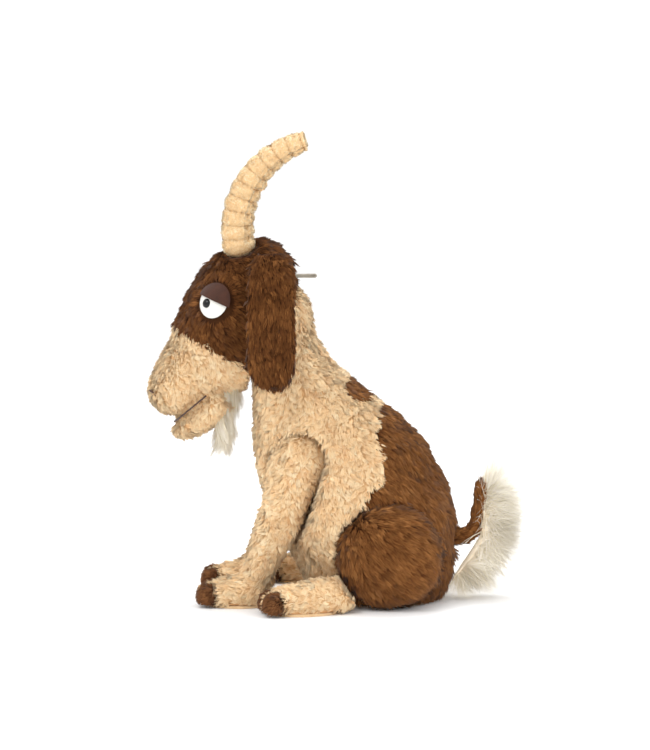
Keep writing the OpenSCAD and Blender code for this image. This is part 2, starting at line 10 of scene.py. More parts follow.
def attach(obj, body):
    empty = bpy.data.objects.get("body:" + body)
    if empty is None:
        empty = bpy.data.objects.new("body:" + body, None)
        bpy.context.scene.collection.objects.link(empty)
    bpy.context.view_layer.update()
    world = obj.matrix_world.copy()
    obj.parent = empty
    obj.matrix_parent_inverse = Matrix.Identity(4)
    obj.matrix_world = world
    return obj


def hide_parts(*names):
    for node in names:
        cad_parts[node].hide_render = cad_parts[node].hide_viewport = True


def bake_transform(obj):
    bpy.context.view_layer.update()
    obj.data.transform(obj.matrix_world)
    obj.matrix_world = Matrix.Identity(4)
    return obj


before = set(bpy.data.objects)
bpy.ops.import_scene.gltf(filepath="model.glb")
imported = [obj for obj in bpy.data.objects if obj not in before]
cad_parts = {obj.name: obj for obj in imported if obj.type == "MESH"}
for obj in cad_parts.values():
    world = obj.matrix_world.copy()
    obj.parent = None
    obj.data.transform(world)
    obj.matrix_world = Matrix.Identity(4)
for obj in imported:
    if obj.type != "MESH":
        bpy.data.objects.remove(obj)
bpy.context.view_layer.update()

print("frame loaded:", len(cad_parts), "CAD parts")

# The fur comes from one stream of numbers, so that every run grows the same coat
rng = np.random.default_rng(20)
mm = 0.001


def deselectAll():
    for o in bpy.context.selected_objects:
        o.select_set(False)
    bpy.context.view_layer.objects.active = None


def pick(obj):
    deselectAll()
    obj.select_set(True)
    bpy.context.view_layer.objects.active = obj


def applyAll(obj):
    pick(obj)
    for m in list(obj.modifiers):
        bpy.ops.object.modifier_apply(modifier=m.name)


def linear(r, g, b):
    # a colour as seen on a screen, 0 to 255, as the shader wants it
    out = []
    for c in (r, g, b):
        c = c / 255
        out.append(c / 12.92 if c <= 0.04045 else ((c + 0.055) / 1.055) ** 2.4)
    return (*out, 1.0)


def copyOf(nodes, name):
    # one new object with a copy of these CAD parts, their loose triangles joined up
    mesh = bpy.data.meshes.new(name)
    bm = bmesh.new()
    for n in nodes:
        bm.from_mesh(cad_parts[n].data)
    bmesh.ops.remove_doubles(bm, verts=bm.verts, dist=0.02 * mm)
    bm.to_mesh(mesh)
    bm.free()
    mesh.materials.clear()
    obj = bpy.data.objects.new(name, mesh)
    bpy.context.scene.collection.objects.link(obj)
    return obj


def points(obj):
    co = np.empty(len(obj.data.vertices) * 3, np.float32)
    obj.data.vertices.foreach_get("co", co)
    return co.reshape(-1, 3).astype(float)


def setPoints(obj, co):
    obj.data.vertices.foreach_set("co", np.asarray(co, np.float32).ravel())
    obj.data.update()


def normals(obj):
    n = np.empty(len(obj.data.vertices) * 3, np.float32)
    obj.data.vertex_normals.foreach_get("vector", n)
    return n.reshape(-1, 3).astype(float)


def remeshed(obj, voxel, smooth=6):
    m = obj.modifiers.new("remesh", "REMESH")
    m.mode = "VOXEL"
    m.voxel_size = voxel
    m.adaptivity = 0
    if smooth:
        s = obj.modifiers.new("smooth", "SMOOTH")
        s.factor = 0.5
        s.iterations = smooth
    applyAll(obj)
    return obj


def drawnIn(obj, depth):
    # the backing cloth lies under the pile, so the skin sits inside the outline
    setPoints(obj, points(obj) - normals(obj) * depth)
    return obj


def backing(nodes, name, voxel, depth, smooth=6):
    return drawnIn(remeshed(copyOf(nodes, name), voxel, smooth), depth)


def lumps(p, size, seed=0.0):
    # smooth noise at each of the points, about -1 to 1
    q = p / size + seed
    return np.array([noise.noise(Vector(v)) for v in q]) * 1.6


def treeOf(obj):
    me = obj.data
    return BVHTree.FromPolygons([v.co for v in me.vertices], [tuple(f.vertices) for f in me.polygons])


def coverOf(obj):
    co = points(obj)
    return {"tree": treeOf(obj), "low": co.min(0), "high": co.max(0)}


def unit(v):
    return v / np.maximum(np.linalg.norm(v, axis=1, keepdims=True), 1e-9)


def across(v, n):
    # the part of v that lies in the surface
    return v - n * (v * n).sum(1, keepdims=True)


def scatter(obj, perMm2):
    # evenly spread roots: their places and the surface's normals there
    me = obj.data
    me.calc_loop_triangles()
    tri = np.empty(len(me.loop_triangles) * 3, np.int32)
    me.loop_triangles.foreach_get("vertices", tri)
    tri = tri.reshape(-1, 3)
    co, vn = points(obj), normals(obj)
    a, b, c = co[tri[:, 0]], co[tri[:, 1]], co[tri[:, 2]]
    area = np.linalg.norm(np.cross(b - a, c - a), axis=1) / 2
    count = int(area.sum() * 1e6 * perMm2)
    face = np.searchsorted(np.cumsum(area) / area.sum(), (np.arange(count) + rng.random(count)) / count)
    face = np.minimum(face, len(tri) - 1)
    u, v = rng.random(count), rng.random(count)
    flip = u + v > 1
    u[flip], v[flip] = 1 - u[flip], 1 - v[flip]
    w = 1 - u - v
    place = a[face] * w[:, None] + b[face] * u[:, None] + c[face] * v[:, None]
    n = vn[tri[face, 0]] * w[:, None] + vn[tri[face, 1]] * u[:, None] + vn[tri[face, 2]] * v[:, None]
    return place, unit(n)


# nearly along the axes, so that a ray doesn't run along the edge of a face
sixWays = [Vector(v) for v in (
    (1, 0.02, 0.01), (-1, 0.01, 0.02), (0.01, 1, 0.02), (0.02, -1, 0.01), (0.01, 0.02, 1), (0.02, 0.01, -1),
)]


def clearOf(roots, covers, gap, reach=0.07):
    # False for each root that touches another piece, or that has it on five sides out of six
    keep = np.ones(len(roots), bool)
    for cover in covers:
        near = np.all((roots > cover["low"] - gap) & (roots < cover["high"] + gap), axis=1)
        for i in np.nonzero(keep & near)[0]:
            at = Vector(roots[i])
            if cover["tree"].find_nearest(at, gap + 1e-6)[0] is not None:
                keep[i] = False
                continue
            missed = 0
            for way in sixWays:
                if cover["tree"].ray_cast(at, way, reach)[0] is None:
                    missed += 1
                    if missed > 1:
                        break
            keep[i] = missed > 1
    return keep


def tufts(roots, size):
    # the tuft that each root belongs to, with the tufts' own middles
    count = max(8, int(len(roots) * 0.6 / max(1.0, size)))
    chosen = rng.choice(len(roots), min(count, len(roots)), replace=False)
    tree = KDTree(len(chosen))
    for i, k in enumerate(chosen):
        tree.insert(roots[k], i)
    tree.balance()
    mine = np.array([tree.find(r)[1] for r in roots])
    return mine, roots[chosen]


def strands(roots, ns, lie, look, tone=None):
    # each strand is a slim closed spike with one bend
    n = len(roots)
    mine, middles = tufts(roots, look["perTuft"])
    k = len(middles)
    mottle = lumps(middles, look["mottleSize"], 3.1)
    swirl = (lumps(middles, look["swirlSize"], 7.7) * look["swirl"])[mine]
    turn = swirl + rng.normal(0, look["stray"], n) + rng.normal(0, look["tuftTurn"], k)[mine]
    flow = unit(across(lie, ns))
    side = np.cross(ns, flow)
    flow = flow * np.cos(turn)[:, None] + side * np.sin(turn)[:, None]
    side = np.cross(ns, flow)
    lift = look["lift"] + rng.normal(0, look["liftVary"], n) + rng.normal(0, look["liftVary"], k)[mine]
    lift = np.radians(lift)
    lift = np.clip(lift, 0.12, 1.45)
    size = look["length"] * (1 + rng.normal(0, 0.13, n) + rng.normal(0, look["tuftLength"], k)[mine])
    size = np.clip(size, look["length"] * 0.5, look["length"] * 1.5)
    out = flow * np.cos(lift)[:, None] + ns * np.sin(lift)[:, None]
    low = np.clip(lift - np.radians(look["droop"]), 0.02, 1.4)
    curl = rng.normal(0, look["curl"], k)[mine]
    turned = flow * np.cos(curl)[:, None] + side * np.sin(curl)[:, None]
    onward = turned * np.cos(low)[:, None] + ns * np.sin(low)[:, None]
    mid = roots + out * (size * 0.45)[:, None]
    tip = mid + onward * (size * 0.55)[:, None]
    # tips of one tuft draw together
    sumTip = np.zeros((k, 3))
    np.add.at(sumTip, mine, tip - roots)
    number = np.maximum(np.bincount(mine, minlength=k), 1)
    goal = middles + sumTip / number[:, None]
    pull = look["gather"] * (0.5 + rng.random(n) * 0.7)
    tip = tip + (goal[mine] - tip) * pull[:, None]
    mid = mid + (goal[mine] - mid) * (pull * 0.25)[:, None]
    axis = unit(tip - roots)
    wide = np.cross(axis, ns)
    wide = unit(wide + rng.normal(0, 0.15, (n, 3)))
    w = look["width"] * (0.75 + rng.random(n) * 0.5)
    base = roots - ns * look["sink"]
    half = wide * (w / 2)[:, None]
    co = np.stack([base, mid + half, mid - half, tip], 1).reshape(-1, 3)
    pattern = np.array([[0, 1, 2], [3, 2, 1], [0, 3, 1], [0, 2, 3]])
    faces = (pattern[None] + 4 * np.arange(n)[:, None, None]).reshape(-1, 3)
    facing = ns + out * 0.25 + side * (rng.normal(0, 0.3, k)[mine] + rng.normal(0, 0.12, n))[:, None]
    facing = np.repeat(unit(facing), 4, axis=0)
    shade = 0.5 + look["mottle"] * mottle[mine] + rng.normal(0, look["tuftShade"], k)[mine]
    shade = shade + rng.normal(0, look["strandShade"], n)
    if tone is not None:
        shade = shade + tone
    shade = np.clip(shade, 0.02, 0.98)
    u = shade[:, None] + np.array([0.0, -0.008, 0.008, 0.0])[None]
    v = np.broadcast_to(np.array([0.02, 0.5, 0.47, 0.98]), (n, 4))
    uv = np.stack([u, v], 2).reshape(-1, 2)[faces.ravel()]
    return co, faces, uv, facing


def longStrands(roots, ns, ways, look):
    # each long strand is a closed three-sided spike with several bends
    n, steps = len(roots), look["steps"]
    mine, middles = tufts(roots, look["perTuft"])
    k = len(middles)
    size = look["length"] * (1 + rng.normal(0, 0.18, n) + rng.normal(0, 0.12, k)[mine])
    size = np.clip(size, look["length"] * 0.45, look["length"] * 1.4)
    stray = ways + rng.normal(0, look["stray"], (n, 3))
    heading = unit(stray + rng.normal(0, look["tuftTurn"], (k, 3))[mine])
    bend = rng.normal(0, look["curl"], (n, 3)) * 0.5 + rng.normal(0, look["curl"], (k, 3))[mine]
    bend = bend + np.array(look["fall"])
    at = roots - ns * look["sink"]
    line = [at]
    for i in range(steps):
        heading = unit(heading + bend * (1.0 / steps))
        at = at + heading * (size / steps)[:, None]
        line.append(at)
    line = np.array(line)
    tipMean = np.zeros((k, 3))
    np.add.at(tipMean, mine, line[-1])
    number = np.maximum(np.bincount(mine, minlength=k), 1)
    goal = (tipMean / number[:, None])[mine]
    for i in range(1, steps + 1):
        line[i] += (goal - line[-1]) * (look["gather"] * (i / steps) ** 2)
    axis = unit(line[-1] - line[0])
    wide = unit(np.cross(axis, ns + 0.01))
    deep = np.cross(wide, axis)
    w = look["width"] * (0.7 + rng.random(n) * 0.6)
    rings = []
    for i in range(steps):
        r = (w * 0.5 * (1 - 0.75 * i / steps))[:, None]
        far = line[i] - wide * r * 0.5
        rings += [line[i] + wide * r, far + deep * r * 0.8, far - deep * r * 0.8]
    co = np.stack([*rings, line[-1]], 1)
    per = co.shape[1]
    pattern = [[0, 2, 1]]
    for i in range(steps - 1):
        a = 3 * i
        for j in range(3):
            b, c = a + j, a + (j + 1) % 3
            pattern += [[b, c, c + 3], [b, c + 3, b + 3]]
    a = 3 * (steps - 1)
    pattern += [[a, a + 1, per - 1], [a + 1, a + 2, per - 1], [a + 2, a, per - 1]]
    pattern = np.array(pattern)[:, ::-1]
    faces = (pattern[None] + per * np.arange(n)[:, None, None]).reshape(-1, 3)
    shade = np.clip(0.5 + rng.normal(0, 0.13, k)[mine] + rng.normal(0, 0.12, n), 0.02, 0.98)
    level = np.array([i / steps for i in range(steps) for _ in range(3)] + [1.0])
    level = 0.02 + 0.96 * level + np.array([0.0, 0.01, -0.01] * steps + [0.0])
    spreadU = np.array([0.006, -0.006, 0.0] * steps + [0.0])
    uv = np.stack([shade[:, None] + spreadU[None], np.broadcast_to(level, (n, per))], 2)
    uv = uv.reshape(-1, 2)[faces.ravel()]
    facing = ns * 0.5 + np.array((0.0, 0.0, 0.8)) + rng.normal(0, 0.25, (k, 3))[mine]
    facing = np.repeat(unit(facing), per, axis=0)
    return co.reshape(-1, 3), faces, np.clip(uv, 0.001, 0.999), facing


def joinMesh(name, skin, parts, material):
    # one object from a skin and its strands, all on the map that the finish reads
    me = skin.data
    me.calc_loop_triangles()
    tri = np.empty(len(me.loop_triangles) * 3, np.int32)
    me.loop_triangles.foreach_get("vertices", tri)
    co = [points(skin)]
    faces = [tri.reshape(-1, 3)]
    # the skin takes a random tone across the map but sits low on it, near the root, so it gets mostly the
    # darker root colour: painted shade under the pile
    shade = np.clip(0.45 + 0.2 * lumps(co[0], 9 * mm, 1.3), 0.03, 0.97)
    corner = np.tile([0.0, 0.004, 0.008], len(faces[0]))
    rise = np.tile([0.0, 0.01, 0.0], len(faces[0]))
    uvs = [np.stack([shade[faces[0].ravel()] + corner, 0.12 + rise], 1)]
    facings = [normals(skin)]
    base = len(co[0])
    for p, f, uv, facing in parts:
        co.append(p)
        facings.append(facing)
        faces.append(f + base)
        uvs.append(uv)
        base += len(p)
    co, faces, uvs = np.concatenate(co), np.concatenate(faces), np.concatenate(uvs)
    # nothing goes through the floor
    co[:, 2] = np.maximum(co[:, 2], 0.0003 + 0.0002 * np.abs(np.sin(co[:, 1] * 4000)))
    mesh = bpy.data.meshes.new(name)
    mesh.vertices.add(len(co))
    mesh.vertices.foreach_set("co", co.astype(np.float32).ravel())
    mesh.loops.add(len(faces) * 3)
    mesh.loops.foreach_set("vertex_index", faces.astype(np.int32).ravel())
    mesh.polygons.add(len(faces))
    mesh.polygons.foreach_set("loop_start", np.arange(0, len(faces) * 3, 3, dtype=np.int32))
    mesh.polygons.foreach_set("use_smooth", np.ones(len(faces), bool))
    layer = mesh.uv_layers.new(name="OFBake")
    layer.data.foreach_set("uv", uvs.astype(np.float32).ravel())
    mesh.update(calc_edges=True)
    # the strands are lit as the surface they grow from, which keeps the pile soft
    mesh.normals_split_custom_set_from_vertices(np.concatenate(facings).astype(np.float32))
    obj = bpy.data.objects.new(name, mesh)
    bpy.context.scene.collection.objects.link(obj)
    obj.data.materials.append(material)
    bpy.data.objects.remove(skin)
    print("  ", name, len(faces), "triangles")
    return obj


def cutOut(skin, name, wanted, wall):
    # the faces whose middles are wanted, as a closed cloth of this thickness
    obj = skin.copy()
    obj.data = skin.data.copy()
    obj.name = name
    bpy.context.scene.collection.objects.link(obj)
    bm = bmesh.new()
    bm.from_mesh(obj.data)
    bm.faces.ensure_lookup_table()
    middle = np.array([f.calc_center_median() for f in bm.faces])
    out = ~wanted(middle)
    bmesh.ops.delete(bm, geom=[f for f in bm.faces if out[f.index]], context="FACES")
    bm.to_mesh(obj.data)
    bm.free()
    if wall:
        m = obj.modifiers.new("wall", "SOLIDIFY")
        m.thickness = wall
        m.offset = -1
        m.use_rim = True
        applyAll(obj)
    return obj


def socket(group, name, way, kind, value=None):
    s = group.interface.new_socket(name=name, in_out=way, socket_type=kind)
    if value is not None:
        s.default_value = value
    return s


def link(nt, a, b):
    nt.links.new(a, b)


def math1(nt, operation, a, b=None, c=None, clamp=False):
    m = nt.nodes.new("ShaderNodeMath")
    m.operation = operation
    m.use_clamp = clamp
    for i, x in enumerate((a, b, c)):
        if x is None:
            continue
        if isinstance(x, (int, float)):
            m.inputs[i].default_value = x
        else:
            link(nt, x, m.inputs[i])
    return m.outputs[0]


def mixColour(nt, share, a, b):
    m = nt.nodes.new("ShaderNodeMix")
    m.data_type = "RGBA"
    for s, x in ((m.inputs[0], share), (m.inputs[6], a), (m.inputs[7], b)):
        if isinstance(x, (int, float, tuple)):
            s.default_value = x
        else:
            link(nt, x, s)
    return m.outputs[2]


def pileGroup():
    # colour of a pile: across the map from dark to light strands, and up it from root to tip; the darker
    # root is painted shade between the strands, and the strand gets lighter towards its tip
    g = bpy.data.node_groups.new("pileColour", "ShaderNodeTree")
    socket(g, "Map", "INPUT", "NodeSocketVector")
    for name in ("Dark", "Middle", "Light", "ShadedRoot", "Tip"):
        socket(g, name, "INPUT", "NodeSocketColor")
    socket(g, "Colour", "OUTPUT", "NodeSocketColor")
    a = g.nodes.new("NodeGroupInput")
    z = g.nodes.new("NodeGroupOutput")
    parts = g.nodes.new("ShaderNodeSeparateXYZ")
    link(g, a.outputs["Map"], parts.inputs[0])
    low = math1(g, "MULTIPLY", parts.outputs[0], 2.0, clamp=True)
    high = math1(g, "MULTIPLY_ADD", parts.outputs[0], 2.0, -1.0, clamp=True)
    tone = mixColour(g, low, a.outputs["Dark"], a.outputs["Middle"])
    tone = mixColour(g, high, tone, a.outputs["Light"])
    rise = math1(g, "MULTIPLY", parts.outputs[1], 2.2, clamp=True)
    # painted shade: near its root the strand takes the darker root colour
    tone = mixColour(g, rise, a.outputs["ShadedRoot"], tone)
    end = math1(g, "MULTIPLY_ADD", parts.outputs[1], 1.8, -0.95, clamp=True)
    end = math1(g, "MULTIPLY", end, 0.55)
    tone = mixColour(g, end, tone, a.outputs["Tip"])
    link(g, tone, z.inputs["Colour"])
    return g


pileColour = pileGroup()


pileSurface = {"rough": 0.9, "specular": 0.05, "sheen": 0.06, "sheenRough": 0.5}


def pileFinish(name, dark, middle, light, root, tip):
    m = bpy.data.materials.new(name)
    m.use_nodes = True
    nt = m.node_tree
    b = nt.nodes["Principled BSDF"]
    uv = nt.nodes.new("ShaderNodeUVMap")
    uv.uv_map = "OFBake"
    g = nt.nodes.new("ShaderNodeGroup")
    g.node_tree = pileColour
    link(nt, uv.outputs[0], g.inputs["Map"])
    # the root colour is painted shade between the strands
    tones = {"Dark": dark, "Middle": middle, "Light": light, "ShadedRoot": root, "Tip": tip}
    for socketName, c in tones.items():
        g.inputs[socketName].default_value = linear(*c)
    link(nt, g.outputs["Colour"], b.inputs["Base Color"])
    b.inputs["Roughness"].default_value = pileSurface["rough"]
    b.inputs["Specular IOR Level"].default_value = pileSurface["specular"]
    b.inputs["Sheen Weight"].default_value = pileSurface["sheen"]
    b.inputs["Sheen Roughness"].default_value = pileSurface["sheenRough"]
    return m


def weaveGroup():
    # a fine woven or felted surface: a mask of threads and a broad mottle
    g = bpy.data.node_groups.new("weave", "ShaderNodeTree")
    socket(g, "Scale", "INPUT", "NodeSocketFloat", 1200.0)
    socket(g, "Grain", "OUTPUT", "NodeSocketFloat")
    socket(g, "Mottle", "OUTPUT", "NodeSocketFloat")
    a = g.nodes.new("NodeGroupInput")
    z = g.nodes.new("NodeGroupOutput")
    place = g.nodes.new("ShaderNodeTexCoord")
    fine = g.nodes.new("ShaderNodeTexVoronoi")
    link(g, place.outputs["Object"], fine.inputs["Vector"])
    link(g, a.outputs["Scale"], fine.inputs["Scale"])
    broad = g.nodes.new("ShaderNodeTexNoise")
    broad.inputs["Scale"].default_value = 160.0
    broad.inputs["Detail"].default_value = 4.0
    link(g, place.outputs["Object"], broad.inputs["Vector"])
    link(g, fine.outputs["Distance"], z.inputs["Grain"])
    link(g, broad.outputs["Fac"], z.inputs["Mottle"])
    return g


weave = weaveGroup()


def clothFinish(name, base, shade, scale=900.0, bump=0.3, rough=0.85, sheen=0.2):
    m = bpy.data.materials.new(name)
    m.use_nodes = True
    nt = m.node_tree
    b = nt.nodes["Principled BSDF"]
    g = nt.nodes.new("ShaderNodeGroup")
    g.node_tree = weave
    g.inputs["Scale"].default_value = scale
    share = math1(nt, "MULTIPLY_ADD", g.outputs["Mottle"], 1.6, -0.4, clamp=True)
    tone = mixColour(nt, share, linear(*shade), linear(*base))
    fleck = math1(nt, "MULTIPLY_ADD", g.outputs["Grain"], 1.1, 0.45, clamp=True)
    tone = mixColour(nt, fleck, linear(*shade), tone)
    link(nt, tone, b.inputs["Base Color"])
    h = nt.nodes.new("ShaderNodeBump")
    h.inputs["Strength"].default_value = bump
    h.inputs["Distance"].default_value = 0.0003
    link(nt, g.outputs["Grain"], h.inputs["Height"])
    link(nt, h.outputs[0], b.inputs["Normal"])
    b.inputs["Roughness"].default_value = rough
    b.inputs["Sheen Weight"].default_value = sheen
    return m


def glossFinish(name, base, shade, rough=0.12, coat=0.2):
    m = bpy.data.materials.new(name)
    m.use_nodes = True
    nt = m.node_tree
    b = nt.nodes["Principled BSDF"]
    g = nt.nodes.new("ShaderNodeGroup")
    g.node_tree = weave
    g.inputs["Scale"].default_value = 2500.0
    share = math1(nt, "MULTIPLY_ADD", g.outputs["Mottle"], 1.2, -0.1, clamp=True)
    link(nt, mixColour(nt, share, linear(*shade), linear(*base)), b.inputs["Base Color"])
    worn = math1(nt, "MULTIPLY_ADD", g.outputs["Mottle"], 0.12, rough)
    link(nt, worn, b.inputs["Roughness"])
    b.inputs["Specular IOR Level"].default_value = 0.35
    b.inputs["Coat Weight"].default_value = coat
    b.inputs["Coat Roughness"].default_value = 0.08
    return m


# each pile: dark, middle and light strands, then the root, darkened as painted shade between the strands,
# and the tip of a strand
finishes = {
    "brown": pileFinish(
        "brownPlush", (74, 40, 17), (121, 75, 39), (174, 119, 69), (55, 29, 13), (162, 111, 63)),
    # a darker copy of the brown pile: painted shade on the face and ears
    "face": pileFinish(
        "shadedBrownPlush", (54, 28, 12), (93, 55, 27), (142, 93, 51), (42, 21, 9), (132, 86, 47)),
    "cream": pileFinish(
        "creamPlush", (228, 176, 124), (248, 209, 158), (255, 233, 194), (226, 174, 122), (255, 234, 198)),
    "toe": pileFinish(
        "toePlush", (70, 42, 26), (112, 72, 44), (150, 102, 64), (46, 27, 16), (150, 104, 68)),
    "ivory": pileFinish(
        "ivoryPile", (240, 230, 208), (251, 246, 232), (255, 253, 246), (240, 222, 196), (255, 253, 246)),
    "cord": pileFinish(
        "needlecordNap", (186, 132, 78), (250, 226, 180), (255, 242, 212), (222, 178, 126), (255, 242, 214)),
    "fibre": clothFinish("fibreFill", (246, 246, 244), (226, 226, 224), 700.0, 0.5),
    "bag": clothFinish("bagCloth", (214, 212, 208), (178, 176, 172), 1500.0, 0.4),
    "sole": clothFinish("soleCloth", (240, 212, 170), (208, 168, 120), 1400.0, 0.4),
    "lid": clothFinish("lidSuede", (76, 39, 21), (54, 27, 15), 2200.0, 0.35, 0.9, 0.03),
    "thread": clothFinish("threadTwist", (92, 56, 36), (52, 30, 20), 2600.0, 0.6, 0.6),
    "label": clothFinish("labelTape", (172, 165, 150), (142, 134, 120), 2400.0, 0.3),
    "eyeWhite": glossFinish("eyeWhite", (226, 225, 219), (214, 212, 205), 0.2),
    "pupil": glossFinish("pupilBlack", (12, 10, 10), (5, 5, 6), 0.1, 0.0),
    "washer": glossFinish("washerPlastic", (222, 222, 220), (200, 200, 198), 0.35),
}
# fine pale hair lets light through, which this little glow stands in for
glow = {"colour": (252, 236, 206), "strength": 0.24}
ivoryShader = finishes["ivory"].node_tree.nodes["Principled BSDF"]
ivoryShader.inputs["Emission Color"].default_value = linear(*glow["colour"])
ivoryShader.inputs["Emission Strength"].default_value = glow["strength"]
print("finishes made:", len(finishes))

# lift and droop are in degrees; stray, tuftTurn, curl and swirl are in radians
brownPile = {
    "perMm2": 1.9, "length": 9.0 * mm, "width": 0.6 * mm, "sink": 0.8 * mm,
    "lift": 23, "liftVary": 5, "droop": 12, "stray": 0.08, "curl": 0.14,
    "perTuft": 7, "tuftTurn": 0.1, "tuftLength": 0.12, "gather": 0.3,
    "tuftShade": 0.13, "strandShade": 0.11, "mottle": 0.12, "mottleSize": 14 * mm,
    "swirl": 0.3, "swirlSize": 30 * mm,
}
creamPile = {
    "perMm2": 1.9, "length": 6.2 * mm, "width": 0.6 * mm, "sink": 0.8 * mm,
    "lift": 32, "liftVary": 8, "droop": 20, "stray": 0.22, "curl": 0.5,
    "perTuft": 6, "tuftTurn": 0.3, "tuftLength": 0.1, "gather": 0.25,
    "tuftShade": 0.13, "strandShade": 0.1, "mottle": 0.2, "mottleSize": 7 * mm,
    "swirl": 0.7, "swirlSize": 16 * mm,
}
facePile = dict(brownPile, length=6.4 * mm, lift=22)
muzzlePile = dict(creamPile, length=5.4 * mm, lift=34)
legPile = dict(creamPile, length=5.8 * mm, lift=30)
footPile = dict(creamPile, length=5.0 * mm, lift=26)
earPile = dict(brownPile, length=8.5 * mm, lift=18, swirl=0.15)
liningPile = dict(brownPile, length=5.0 * mm, lift=18, swirl=0.15)
thighPile = dict(brownPile, length=9.0 * mm, lift=22)
tailPile = dict(brownPile, length=6.0 * mm, lift=20)
toePile = dict(brownPile, length=4.2 * mm, lift=28, perMm2=2.4, width=0.55 * mm)
spotPile = dict(brownPile, length=7.5 * mm)
basePile = dict(creamPile, length=3 * mm, lift=12)

# the head's own middle and directions, and the seam between face and muzzle
headAt = np.array((0.0, -0.05829, 0.232))
headAlong = np.array((0.0, -0.6756, -0.7373))
headUp = np.array((0.0, -0.7373, 0.6756))
seamAt = np.array((0.0, -0.0950, 0.1940))
seamFacing = np.array((0.0, -0.515, -0.857))
# the seat's middle, front to back
seatY = 0.0235
bothSides = ("left", "right")


def mirrorOf(side):
    return 1.0 if side == "left" else -1.0


# each skin: the parts that it wraps, then its grain, its depth under the outline and its smoothing
bodyParts = [
    "body_cover_cream", "body_cover_brown", "back_spot", "base_panel", "body_stuffing", "pellet_bag",
]
headParts = ["head_cover", "muzzle_cover", "chin_cover", "head_stuffing"]
skins = {
    "body": backing(bodyParts, "bodySkin", 3.4 * mm, 3.0 * mm, 5),
    "head": backing(headParts, "headSkin", 2.6 * mm, 2.4 * mm, 4),
    "tail": backing(["tail_cover", "tail_stuffing"], "tailSkin", 1.8 * mm, 1.6 * mm, 3),
}
sideSkins = {
    "Ear": (("_ear_outer", "_ear_lining"), 1.8 * mm, 1.0 * mm, 3),
    "FrontLeg": (("_front_leg_cover", "_front_leg_stuffing", "_front_leg_sole"), 2.4 * mm, 2.2 * mm, 4),
    "Thigh": (("_thigh_cover", "_thigh_stuffing"), 2.6 * mm, 2.8 * mm, 5),
    "HindFoot": (("_hind_foot_cover", "_hind_foot_stuffing", "_hind_foot_sole"), 2.2 * mm, 2.0 * mm, 4),
}
for side in bothSides:
    for name, (nodes, voxel, depth, smooth) in sideSkins.items():
        nodes = [side + n for n in nodes]
        skins[side + name] = backing(nodes, side + name + "Skin", voxel, depth, smooth)

sleeve = {
    "inward": 0.009, "inwardFrom": 0.066, "inwardOver": 0.045,
    "creaseZ": 0.067, "creaseY": -0.04, "creaseSlope": 0.1, "creaseWide": 0.004, "creaseDeep": 0.0018,
    "fuller": 0.0052, "fullerFrom": 0.078, "fullerOver": 0.03,
}


def intoChest(p, s):
    rise = np.clip((p[:, 2] - sleeve["inwardFrom"]) / sleeve["inwardOver"], 0, 1)
    p[:, 0] -= s * sleeve["inward"] * rise
    return p


ear = {
    "tipBelow": 0.205, "tipOver": 0.049, "tipWider": 0.34, "tipRaise": 0.008, "middleY": -0.0455,
    "foldY": -0.041, "foldZ": 0.208, "foldWide": 0.0028, "foldTall": 0.013, "foldDeep": 0.0026,
    "slantY": -0.050, "slantZ": 0.183, "slantWide": 0.0025, "slantLong": 0.011,
}


for side in bothSides:
    s = mirrorOf(side)
    # the top of a sleeve runs into the chest, with a soft crease above the knee
    p = points(skins[side + "FrontLeg"])
    n = normals(skins[side + "FrontLeg"])
    above = p[:, 2] - sleeve["creaseZ"] - sleeve["creaseSlope"] * (p[:, 1] - sleeve["creaseY"])
    crease = np.exp(-(above / sleeve["creaseWide"]) ** 2)
    p -= n * (sleeve["creaseDeep"] * crease)[:, None]
    top = np.clip((p[:, 2] - sleeve["fullerFrom"]) / sleeve["fullerOver"], 0, 1)
    p += n * (sleeve["fuller"] * top * (1 - np.abs(n[:, 0])))[:, None]
    setPoints(skins[side + "FrontLeg"], intoChest(p, s))
    # the ear is broad and round at its end, with two folds
    p = points(skins[side + "Ear"])
    n = normals(skins[side + "Ear"])
    low = np.clip((ear["tipBelow"] - p[:, 2]) / ear["tipOver"], 0, 1)
    tall = np.exp(-((p[:, 1] - ear["foldY"]) / ear["foldWide"]) ** 2)
    tall = tall * np.exp(-((p[:, 2] - ear["foldZ"]) / ear["foldTall"]) ** 2)
    slant = (p[:, 1] - ear["slantY"]) * 0.55 - (p[:, 2] - ear["slantZ"]) * 0.83
    cross = np.exp(-(slant / ear["slantWide"]) ** 2)
    cross = cross * np.exp(-((p[:, 1] - ear["slantY"]) / ear["slantLong"]) ** 2)
    p -= n * ((tall + cross) * ear["foldDeep"] * (n[:, 0] * s > 0))[:, None]
    p[:, 1] = ear["middleY"] + (p[:, 1] - ear["middleY"]) * (1 + ear["tipWider"] * low ** 1.5)
    p[:, 2] += ear["tipRaise"] * low
    setPoints(skins[side + "Ear"], p)
# the seat reaches down to the floor
seat = {"below": 0.02, "stretch": 1.12}
p = points(skins["body"])
stretched = seat["below"] - (seat["below"] - p[:, 2]) * seat["stretch"]
p[:, 2] = np.where(p[:, 2] < seat["below"], stretched, p[:, 2])
setPoints(skins["body"], p)
for name, o in skins.items():
    print("  skin", name, len(o.data.polygons))
covers = {name: coverOf(o) for name, o in skins.items()}
print("skins made")


brownEdge = {
    "z": (0.003, 0.060, 0.084, 0.095, 0.112, 0.128, 0.147, 0.170),
    "y": (-0.009, -0.002, 0.000, 0.011, 0.011, 0.007, 0.009, 0.028),
    "wave": 0.0016, "waves": 900, "top": 0.170,
}
spot = {
    "raise": 0.005, "halfWide": 0.034,
    "outline": ((-0.013, 0.1725), (-0.0168, 0.1575), (-0.0135, 0.1505), (-0.006, 0.1468),
                (0.004, 0.148), (0.012, 0.1495), (0.012, 0.175)),
}
baseTop = 0.0075


